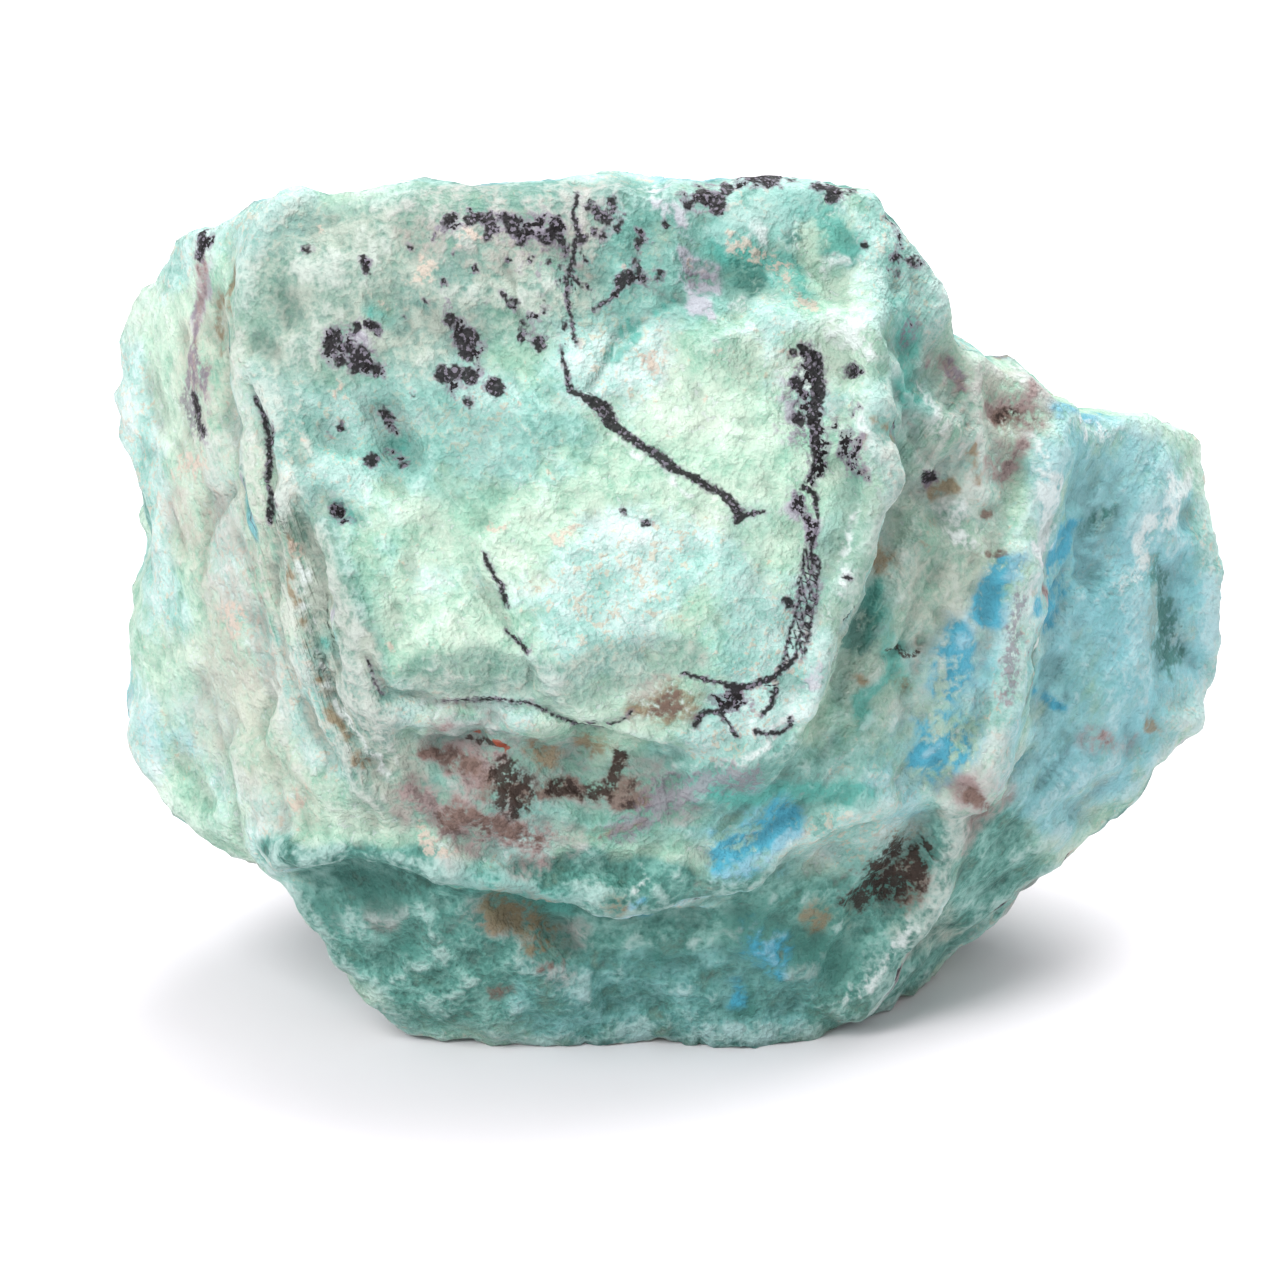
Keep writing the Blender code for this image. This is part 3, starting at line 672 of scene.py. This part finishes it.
grounds = {  # broad tones, each with how strong it is: strokes of (x, y, half width)
    "deep": {
        "under": (0.8, [[(340, 930, 60), (600, 985, 95), (830, 960, 90), (980, 860, 60)]]),
        "flank": (0.4, [[(905, 260, 30), (930, 400, 50), (890, 600, 70), (880, 740, 60)]]),
        "girdle": (0.55, [[(430, 780, 50), (640, 800, 60), (790, 790, 44)]]),
        "ledge": (1.0, [[(290, 868, 26), (430, 872, 28), (560, 890, 30), (660, 905, 30)]]),
        "lobe": (0.25, [[(1120, 520, 90), (1130, 660, 100), (1060, 780, 70)]]),
        "upperCrown": (0.6, [[(350, 300, 110), (560, 240, 90), (700, 250, 80)]]),
        # painted shade: a darker green band where the nose turns down
        "paintedShadeUnderNose": (0.5, [[(400, 690, 20), (560, 685, 32), (690, 665, 26)]]),
        "rimFoot": (0.3, [[(756, 530, 36), (744, 610, 30)]]),
        "crownPits": (0.45, [[(400, 436, 60), (490, 440, 55), (570, 430, 30)]]),
        "bundle": (0.55, [[(300, 520, 40), (330, 650, 40), (370, 760, 40)]]),
        "fold": (0.45, [[(290, 320, 26), (296, 450, 28)]]),
    },
    "milk": {
        "nose": (1.0, [[(420, 600, 70), (560, 580, 80), (700, 570, 50)], [(640, 370, 70), (730, 440, 70)]]),
        "rim": (1.0, [[(850, 340, 30), (866, 430, 20)], [(866, 520, 30), (820, 660, 20)]]),
        "left": (1.0, [[(160, 330, 60), (165, 450, 60)], (190, 700, 60)]),
        "fold": (0.2, [(285, 300, 30)]),
    },
    "sea": {
        "lobe": (1.0, [[(1110, 480, 80), (1130, 640, 100), (1050, 780, 60)]]),
        "flankFoot": (0.6, [[(975, 600, 26), (950, 700, 34), (900, 800, 34)]]),
        "left": (0.5, [(185, 720, 50)]),
        "belly": (0.4, [[(700, 830, 40), (780, 820, 40)], [(560, 1010, 60), (760, 1000, 60)]]),
    },
    "wash": {  # a thin brown film
        "girdle": (0.75, [
            [(430, 735, 26), (500, 765, 40), (610, 780, 36), (665, 800, 26)],
            [(410, 795, 28), (480, 835, 38), (560, 852, 28)],
        ]),
        "ochreKnob": (0.8, [[(640, 712, 18), (670, 704, 20)]]),
        "knob": (0.9, [[(985, 380, 24), (1024, 402, 32), (1006, 460, 22)]]),
        "flank": (0.45, [
            [(936, 340, 20), (958, 392, 26), (945, 450, 26)], [(890, 420, 12), (905, 470, 14)],
        ]),
        "under": (0.8, [[(500, 908, 26), (552, 936, 22)], (392, 905, 20), (545, 980, 16)]),
        "left": (0.45, [[(180, 460, 30), (235, 560, 40), (236, 660, 40)]]),
        "upperCrown": (0.65, [[(440, 240, 40), (520, 232, 50), (600, 230, 40)]]),
        "bundle": (0.25, [[(310, 600, 34), (350, 700, 36), (400, 780, 34)]]),
        "spur": (0.8, [[(985, 790, 22), (972, 840, 16)], (1110, 735, 20)]),
    },
    "dust": {
        "left": (0.9, [[(225, 330, 45), (225, 520, 60), (245, 680, 60), (280, 790, 50)]]),
        "bundle": (0.9, [[(290, 560, 40), (330, 680, 40), (390, 790, 40)]]),
        "fold": (0.6, [[(285, 330, 26), (292, 450, 26)]]),
        "flank": (0.7, [[(940, 370, 40), (955, 470, 60), (900, 700, 50)]]),
        "footRidge": (0.6, [[(990, 740, 26), (930, 920, 26)]]),
        "upperCrown": (0.8, [[(350, 300, 100), (560, 250, 70)]]),
        # painted shade: a darker band where the nose turns down
        "paintedShadeUnderNose": (0.6, [[(400, 690, 26), (560, 685, 32), (690, 665, 26)]]),
    },
}


behind = {  # patches where the frame shows nothing: size in mm, and where in the noise they start
    "mauve": (8.0, 0.45), "brown": (6.0, 0.5), "deepBrown": (3.0, 0.6), "ochre": (6.0, 0.45),
    "salmon": (3.0, 0.45), "teal": (8.0, 0.2), "deepTeal": (6.0, 0.45), "blue": (5.0, 0.62),
    "pale": (4.0, 0.4), "lilac": (6.0, 0.45), "haze": (4.0, 0.45), "soot": (2.5, 0.62),
    "red": (2.0, 0.7), "deep": (14.0, 0.0), "sea": (12.0, 0.2), "dust": (10.0, 0.2),
    "milk": (12.0, 0.2), "wash": (9.0, 0.4), "crack": (9.0, 0.1),
}
behindEdge = 0.4  # of the noise, from where a patch starts to its full strength
behindSeed = 200  # of the first, and ten more for each that follows
spotsBehind = {"seed": 7, "clusters": 30, "each": 6, "reach": 1.4, "radius": (0.12, 0.5)}  # in mm
hiddenBelow = 0.3  # of facing: veins and spots as drawn on the frame end here
crests = {"evenings": 14, "perMm": 2.5}  # a crest stands out from the skin evened so many times


def depthInSpotsBehind():
    # How deep each place is, in mm, inside black spots strewn over the skin in clusters
    random = np.random.default_rng(spotsBehind["seed"])
    depth = np.full(len(places), -farOff)
    for middle in places[random.integers(len(places), size=spotsBehind["clusters"])]:
        for offset in random.normal(size=(spotsBehind["each"], 3)) * spotsBehind["reach"]:
            gaps = np.linalg.norm(places - middle - offset, axis=1)
            centre = places[np.argmin(gaps)]
            radius = random.uniform(*spotsBehind["radius"])
            depth = np.maximum(depth, radius - np.linalg.norm(places - centre, axis=1))
    return depth


def softMarks(spots):
    # Each mark's strength, 0 to 1, drawn on the frame in front and by noise behind
    ragged, broad = wandering(spots, places, "stains"), wandering(spots, places, "grounds")
    soft = {name: glow(ragged, strokes) for name, strokes in stains.items()}
    for name, tones in grounds.items():
        glows = [strong * smoothStep(*fades["grounds"], glow(broad, lines))
                 for strong, lines in tones.values()]
        soft[name] = np.max(glows, axis=0)
    for turn, (name, (size, start)) in enumerate(behind.items()):
        noise = cloudNoise(places, size, behindSeed + 10 * turn)
        wild = smoothStep(start, start + behindEdge, noise)
        soft[name] = facing * soft.get(name, 0) + (1 - facing) ** 2 * wild
    return soft


attributes = {  # the soft marks, three to an attribute
    "warm": ("brown", "ochre", "salmon"),
    "dark": ("deepBrown", "haze", "red"),
    "cool": ("teal", "deepTeal", "blue"),
    "light": ("pale", "lilac", "crest"),
    "ground": ("deep", "sea", "dust"),
    "oxide": ("soot", "mauve", "wash"),
    "rest": ("milk", "beds", "crack"),
}


def keepMarks():
    spots = onFrame(places)
    shaken = wandering(spots, places, "lines")
    way, width, depth = nearestStroke(shaken, blackVeins.values())
    _, _, spotDepth = nearestStroke(shaken, [spot for group in blackSpots.values() for spot in group])
    hidden = facing < hiddenBelow
    keep("vein", np.column_stack((way, width)) / unitsPerMm)
    keep("veinDepth", np.where(hidden, -farOff, depth) / unitsPerMm)
    keep("spotDepth", np.where(hidden, depthInSpotsBehind(), spotDepth / unitsPerMm))
    soft = softMarks(spots)
    # The crest mark is convexity; it drives a painted highlight on the crests and painted shade in the
    # hollows
    bulge = np.sum((places - softened(places, crests["evenings"])) * baseNormals, axis=1)
    soft["crest"] = np.clip(0.5 + bulge * crests["perMm"], 0, 1)
    soft["beds"] = bedShare
    for name, marks in attributes.items():
        keep(name, np.column_stack([soft[mark] for mark in marks]))
    keep("bed", bedPlaces(places))


keepMarks()
print("marks drawn")


colours = {
    "moss": "#709F8D", "leaf": "#8BB39E", "paleLeaf": "#A7C1AF", "creamLeaf": "#B8C9B9",
    "sage": "#669A90", "aqua": "#85B3A9", "paleAqua": "#9FC0B9", "milk": "#B7CAC5", "chalk": "#CBD2D1",
    "bottleGreen": "#315F55", "deepGreen": "#4B8278", "greyGreen": "#6B9B91", "fogGreen": "#84ABA3",
    "sea": "#6CA9B5", "dust": "#ABA69A", "teal": "#47958A", "deepTeal": "#2B665C", "blue": "#4094AB",
    "crustAndHighlight": "#C4CDCB", "lilac": "#A19EA9", "haze": "#78737E", "ochre": "#79684C", "salmon": "#BAAA9D",
    "biscuit": "#B4A692", "mauve": "#8B7A78", "brown": "#68534A", "deepBrown": "#2B1F19",
    "red": "#8A3E27", "black": "#0B080A", "greyFleck": "#78727F",
}
ramps = {  # stops of the tint, from its low to its high
    "leafy": ((0.455, "moss"), (0.605, "leaf"), (0.775, "paleLeaf"), (0.955, "creamLeaf")),
    "watery": ((0.455, "sage"), (0.605, "aqua"), (0.775, "paleAqua"), (0.935, "milk")),
    "deep": ((0.525, "bottleGreen"), (0.675, "deepGreen"), (0.805, "greyGreen"), (0.965, "fogGreen")),
}
noises = {  # size in mm, detail and roughness of the material's noises
    "drift": (7.0, 0.0, 0.5),  # from one family of green to the other
    "mottle": (3.4, 3.0, 0.68),
    "patches": (2.2, 3.0, 0.72),
    "grain": (0.45, 2.0, 0.70),
    "specks": (0.2, 0.0, 0.5),
    "cracks": (9.0, 1.0, 0.5),
    "streaks": (0.9, 2.0, 0.66),  # across the beds
}
crystalSize = 0.16  # mm. The real grains are finer: these are as coarse as they need to be to show
flakes = {"size": 1.0, "bendSize": 0.7, "bend": 1.4}  # mm, ledges where thin flakes came off
ranges = {  # a field, where it starts and ends, and what comes out there
    "halo": ("halo", 0.33, 0.55, 0.0, 0.6),  # mm deep
    "solid": ("solid", 0.1, 0.22, 0.0, 0.95),  # mm deep
    "paintedPitShade": ("fine", 0.55, 0.87, 0.86, 1.08),  # painted shade and light in the colour: mm high, and how much of the colour is left
    # painted shade: the colour darkened in the hollows between crests
    "paintedHollowShade": ("crest", 0.1, 0.5, 0.72, 1.0),
    "roughness": ("grain", 0.3, 0.7, 0.48, 0.72),
}
gloss = {"IOR": 1.5, "Specular IOR Level": 0.22}  # waxy, with hardly a gleam
fineBump = 0.8  # of the fine relief's height
shares = {  # a mark, the noise that frays it and how much, where it starts and ends, and strength
    "watery": ("drift", "patches", 1.0, 0.42, 0.56, 1.0),
    "sooty": ("soot", "grain", 7.0, 0.75, 1.1, 1.0),
    "grey": ("facet", "specks", 1.0, 0.7, 0.95, 0.75),
}
stainLayers = (  # a tone, and then what shares has for a mark
    ("biscuit", "drift", "grain", 8.0, 0.9, 1.3, 0.6),
    ("chalk", "mottle", "grain", -8.0, 0.9, 1.3, 0.5),
    ("deepRamp", "deep", "patches", 2.0, 0.0, 0.8, 1.0),
    ("sea", "sea", "patches", 3.0, 0.1, 1.1, 0.7),
    ("dust", "dust", "broken", 4.0, 0.1, 1.2, 0.6),
    ("mauve", "wash", "broken", 5.0, 0.1, 1.3, 0.6),
    ("teal", "teal", "broken", 4.0, 0.1, 1.0, 0.85),
    ("deepTeal", "deepTeal", "broken", 6.0, 0.3, 1.2, 0.8),
    ("blue", "blue", "broken", 5.0, 0.2, 1.0, 0.95),
    ("lilac", "lilac", "broken", 6.0, 0.2, 1.1, 0.85),
    # painted highlight: the pale crust colour laid thinly on convex crests
    ("crustAndHighlight", "crest", "broken", 2.4, 0.64, 1.2, 0.28),
    ("crustAndHighlight", "pale", "broken", 6.0, 0.3, 1.3, 0.8),
    ("ochre", "ochre", "broken", 6.0, 0.15, 1.2, 0.8),
    ("mauve", "mauve", "broken", 4.0, 0.1, 1.0, 0.95),
    ("salmon", "salmon", "grain", 6.0, 0.3, 1.1, 0.75),
    ("brown", "brown", "broken", 5.0, 0.2, 1.0, 0.85),
    ("deepBrown", "deepBrown", "grain", 5.0, 0.15, 0.85, 0.92),
    ("red", "red", "grain", 6.0, 0.4, 0.9, 0.8),
    ("deepBrown", "mauve", "grain", 7.0, 0.9, 1.8, 0.35),
    ("haze", "haze", "grain", 5.0, 0.3, 1.1, 0.7),
    ("greyFleck", "soot", "grain", 4.0, 0.25, 0.6, 0.6),
)
steps = (  # fields worked out in turn: what, how, and from which fields or numbers
    ("tint", "MULTIPLY_ADD", "milk", 0.06, "mottle"),
    ("tint", "MULTIPLY_ADD", "facet", 0.1, "tint"),
    # painted light and shade: each flake scar a step lighter or darker, as its face would catch the light
    ("tint", "MULTIPLY_ADD", "flake", 0.09, "tint"),
    ("tint", "MULTIPLY_ADD", "grain", 0.28, "tint"),
    ("deepTint", "MULTIPLY_ADD", "grain", 0.45, "patches"),
    ("broken", "SUBTRACT", "deepTint", 0.225),  # takes off half of what the grain added
    ("fine", "MULTIPLY_ADD", "patches", 0.9, 0.0),  # from here on, relief too fine to model, in mm
    ("fine", "MULTIPLY_ADD", "grain", 0.3, "fine"),
    ("fine", "MULTIPLY_ADD", "specks", 0.06, "fine"),
    ("fine", "MULTIPLY_ADD", "flake", 0.16, "fine"),
    ("inVein", "SUBTRACT", "veinWidth", "veinWay"),  # from here on, depth in the oxide, in mm
    ("nearVein", "ADD", "veinDepth", 0.15),  # how far past the skin's points in it a vein may go
    ("inVein", "MINIMUM", "inVein", "nearVein"),
    ("side", "SUBTRACT", "cracks", 0.5),
    ("offLine", "ABSOLUTE", "side"),
    ("inCrack", "MULTIPLY_ADD", "offLine", -14.0, 0.08),  # mm for the noise's range of 1, and half width
    ("cracked", "SUBTRACT", "crack", 0.6),  # cracks show where their mark is above this
    ("inCrack", "MINIMUM", "inCrack", "cracked"),
    ("inside", "MAXIMUM", "inVein", "spotDepth"),
    ("inside", "MAXIMUM", "inside", "inCrack"),
    ("halo", "MULTIPLY_ADD", "grain", 0.9, "inside"),
    ("solid", "MULTIPLY_ADD", "specks", 0.3, "inside"),
)


def share(tree, amount, ragged, spread, low, high, top):
    # How much of a mark shows, its edge frayed by noise:
    # amount * (1 + spread * (ragged - 0.5)), eased from 0 at low to top at high
    swing = addNode(tree, "ShaderNodeMath", {
        0: ragged, 1: spread, 2: 1 - spread / 2}, operation="MULTIPLY_ADD")
    frayed = addNode(tree, "ShaderNodeMath", {0: amount, 1: swing}, operation="MULTIPLY")
    limits = {"Value": frayed, "From Min": low, "From Max": high, "To Max": top}
    return addNode(tree, "ShaderNodeMapRange", limits, interpolation_type="SMOOTHSTEP")


def readFields(tree):
    # The skin's marks, the noises and what is worked out from them, by name
    place = addNode(tree, "ShaderNodeVectorMath", {
        0: addNode(tree, "ShaderNodeTexCoord", output="Object"), "Scale": 1 / mm}, operation="SCALE")
    bed = addNode(tree, "ShaderNodeAttribute", output="Vector", attribute_name="bed")
    field = {}
    for name, marks in attributes.items():
        three = addNode(tree, "ShaderNodeAttribute", output="Vector", attribute_name=name)
        field.update(zip(marks, addNode(tree, "ShaderNodeSeparateXYZ", {0: three}).node.outputs))
    for name, (size, detail, roughness) in noises.items():
        field[name] = addNode(tree, "ShaderNodeTexNoise", {
            "Vector": bed if name == "streaks" else place,
            "Scale": 1 / size, "Detail": detail, "Roughness": roughness})
    for name in ("mottle", "patches"):  # drawn out in streaks where the beds show
        field[name] = addNode(tree, "ShaderNodeMix", {
            0: field["beds"], 2: field[name], 3: field["streaks"]})
    crystals = addNode(tree, "ShaderNodeTexVoronoi", {"Vector": place, "Scale": 1 / crystalSize}, "Color")
    field["facet"] = addNode(tree, "ShaderNodeSeparateXYZ", {0: crystals})
    bend = addNode(tree, "ShaderNodeTexNoise", {
        "Vector": place, "Scale": 1 / flakes["bendSize"], "Detail": 0.0}, "Color")
    bent = addNode(tree, "ShaderNodeVectorMath", {
        0: bend, 1: (flakes["bend"],) * 3, 2: place}, operation="MULTIPLY_ADD")
    cells = addNode(tree, "ShaderNodeTexVoronoi", {"Vector": bent, "Scale": 1 / flakes["size"]}, "Color")
    field["flake"] = addNode(tree, "ShaderNodeSeparateXYZ", {0: cells})
    vein = addNode(tree, "ShaderNodeAttribute", output="Vector", attribute_name="vein")
    flat = addNode(tree, "ShaderNodeVectorMath", {0: vein, 1: (1, 1, 0)}, operation="MULTIPLY")
    field["veinWay"] = addNode(tree, "ShaderNodeVectorMath", {0: flat}, "Value", operation="LENGTH")
    field["veinWidth"] = addNode(tree, "ShaderNodeSeparateXYZ", {0: vein}, "Z")
    for name in ("veinDepth", "spotDepth"):
        field[name] = addNode(tree, "ShaderNodeAttribute", output="Fac", attribute_name=name)
    for name, operation, *inputs in steps:
        inputs = {socket: field.get(value, value) for socket, value in enumerate(inputs)}
        field[name] = addNode(tree, "ShaderNodeMath", inputs, operation=operation)
    return field


def chrysocolla():
    # Raw chrysocolla: copper silicate that set from a gel, broken and never polished. To the eye a
    # dull, waxy pale green, mottled finely, stained brown and blue, with grains of black oxide.
    tone = {name: linear(value) for name, value in colours.items()}
    material = bpy.data.materials.new("rawChrysocolla")
    material.use_nodes = True
    tree = material.node_tree
    shader = tree.nodes["Principled BSDF"]
    field = readFields(tree)
    for name, stops in ramps.items():
        source = field["deepTint"] if name == "deep" else field["tint"]
        ramp = addNode(tree, "ShaderNodeValToRGB", {"Fac": source}, "Color")
        elements = ramp.node.color_ramp.elements
        while len(elements) < len(stops):
            elements.new(0.5)
        for element, (position, stop) in zip(elements, stops):
            element.position = position
            element.color = tone[stop]
        tone[name + "Ramp"] = ramp

    part = {}
    for name, (source, *limits) in ranges.items():
        inputs = dict(zip(("From Min", "From Max", "To Min", "To Max"), limits))
        part[name] = addNode(tree, "ShaderNodeMapRange", {"Value": field[source], **inputs})
    for name, (mark, ragged, *limits) in shares.items():
        part[name] = share(tree, field[mark], field[ragged], *limits)

    # The green in two families, the stains in order, among them a painted highlight on the crests, and over
    # all the oxide: solid where it is deep, with a grey halo, and in grains where there is soot
    layers = [(tone["wateryRamp"], part["watery"])]
    for name, mark, ragged, *limits in stainLayers:
        layers.append((tone[name], share(tree, field[mark], field[ragged], *limits)))
    black = addNode(tree, "ShaderNodeMath", {0: part["sooty"], 1: part["solid"]}, operation="MAXIMUM")
    oxide = addNode(tree, "ShaderNodeMix", {
        0: part["grey"], 6: tone["black"], 7: tone["greyFleck"]}, 2, data_type="RGBA")
    layers += [(tone["greyFleck"], part["halo"]), (oxide, black)]
    colour = tone["leafyRamp"]
    for layer, amount in layers:
        colour = addNode(tree, "ShaderNodeMix", {0: amount, 6: colour, 7: layer}, 2, data_type="RGBA")

    # Painted shade in the base colour: the pits of the fine relief, and the hollows between crests, are
    # darkened, and the fine relief's high points are painted a little lighter
    shade = addNode(tree, "ShaderNodeMath", {0: part["paintedPitShade"], 1: part["paintedHollowShade"]}, operation="MULTIPLY")
    shaded = addNode(tree, "ShaderNodeVectorMath", {0: colour, "Scale": shade}, operation="SCALE")
    bump = addNode(tree, "ShaderNodeBump", {
        "Height": field["fine"], "Strength": fineBump, "Distance": mm})
    tree.links.new(shaded, shader.inputs["Base Color"])
    tree.links.new(part["roughness"], shader.inputs["Roughness"])
    tree.links.new(bump, shader.inputs["Normal"])
    for name, value in gloss.items():
        shader.inputs[name].default_value = value
    return material


stone.data.materials.append(chrysocolla())
stone.data.polygons.foreach_set("use_smooth", [True] * len(stone.data.polygons))
print("material made")


studio = {  # place and size in m, power in W
    "ceilingBox": ((0.24, 0.34, 0.8), 0.8, 11.8),
    "keyBox": ((-0.34, -0.4, 0.5), 0.4, 4.8),
    "target": (0, 0, 0.02),
    "roomStrength": 0.75,
    "floorSize": 3.0,
    "paper": "#E0DCE0",
    "paperRoughness": 0.9,
}


def ground():
    # Matt paper: white without gloss under bright boxes
    bpy.ops.mesh.primitive_plane_add(size=studio["floorSize"])
    floor = bpy.context.object
    floor.name = "paleFloor"
    paper = bpy.data.materials.new("mattWhitePaper")
    paper.use_nodes = True
    shader = paper.node_tree.nodes["Principled BSDF"]
    shader.inputs["Base Color"].default_value = linear(studio["paper"])
    shader.inputs["Roughness"].default_value = studio["paperRoughness"]
    floor.data.materials.append(paper)


def softBox(name):
    place, size, power = studio[name]
    lamp = bpy.data.lights.new(name, "AREA")
    lamp.energy = power
    lamp.size = size
    box = bpy.data.objects.new(name, lamp)
    scene.collection.objects.link(box)
    box.location = place
    box.rotation_mode = "QUATERNION"
    box.rotation_quaternion = (Vector(studio["target"]) - box.location).to_track_quat("-Z", "Y")


def lights():
    world = bpy.data.worlds.new("whiteRoom")
    scene.world = world
    world.use_nodes = True
    background = world.node_tree.nodes["Background"]
    background.inputs["Color"].default_value = (1, 1, 1, 1)
    background.inputs["Strength"].default_value = studio["roomStrength"]
    softBox("ceilingBox")
    softBox("keyBox")


ground()
lights()
scene.view_settings.view_transform = "Standard"
print("studio lit")
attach(stone, "root")
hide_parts("raw_chrysocolla")
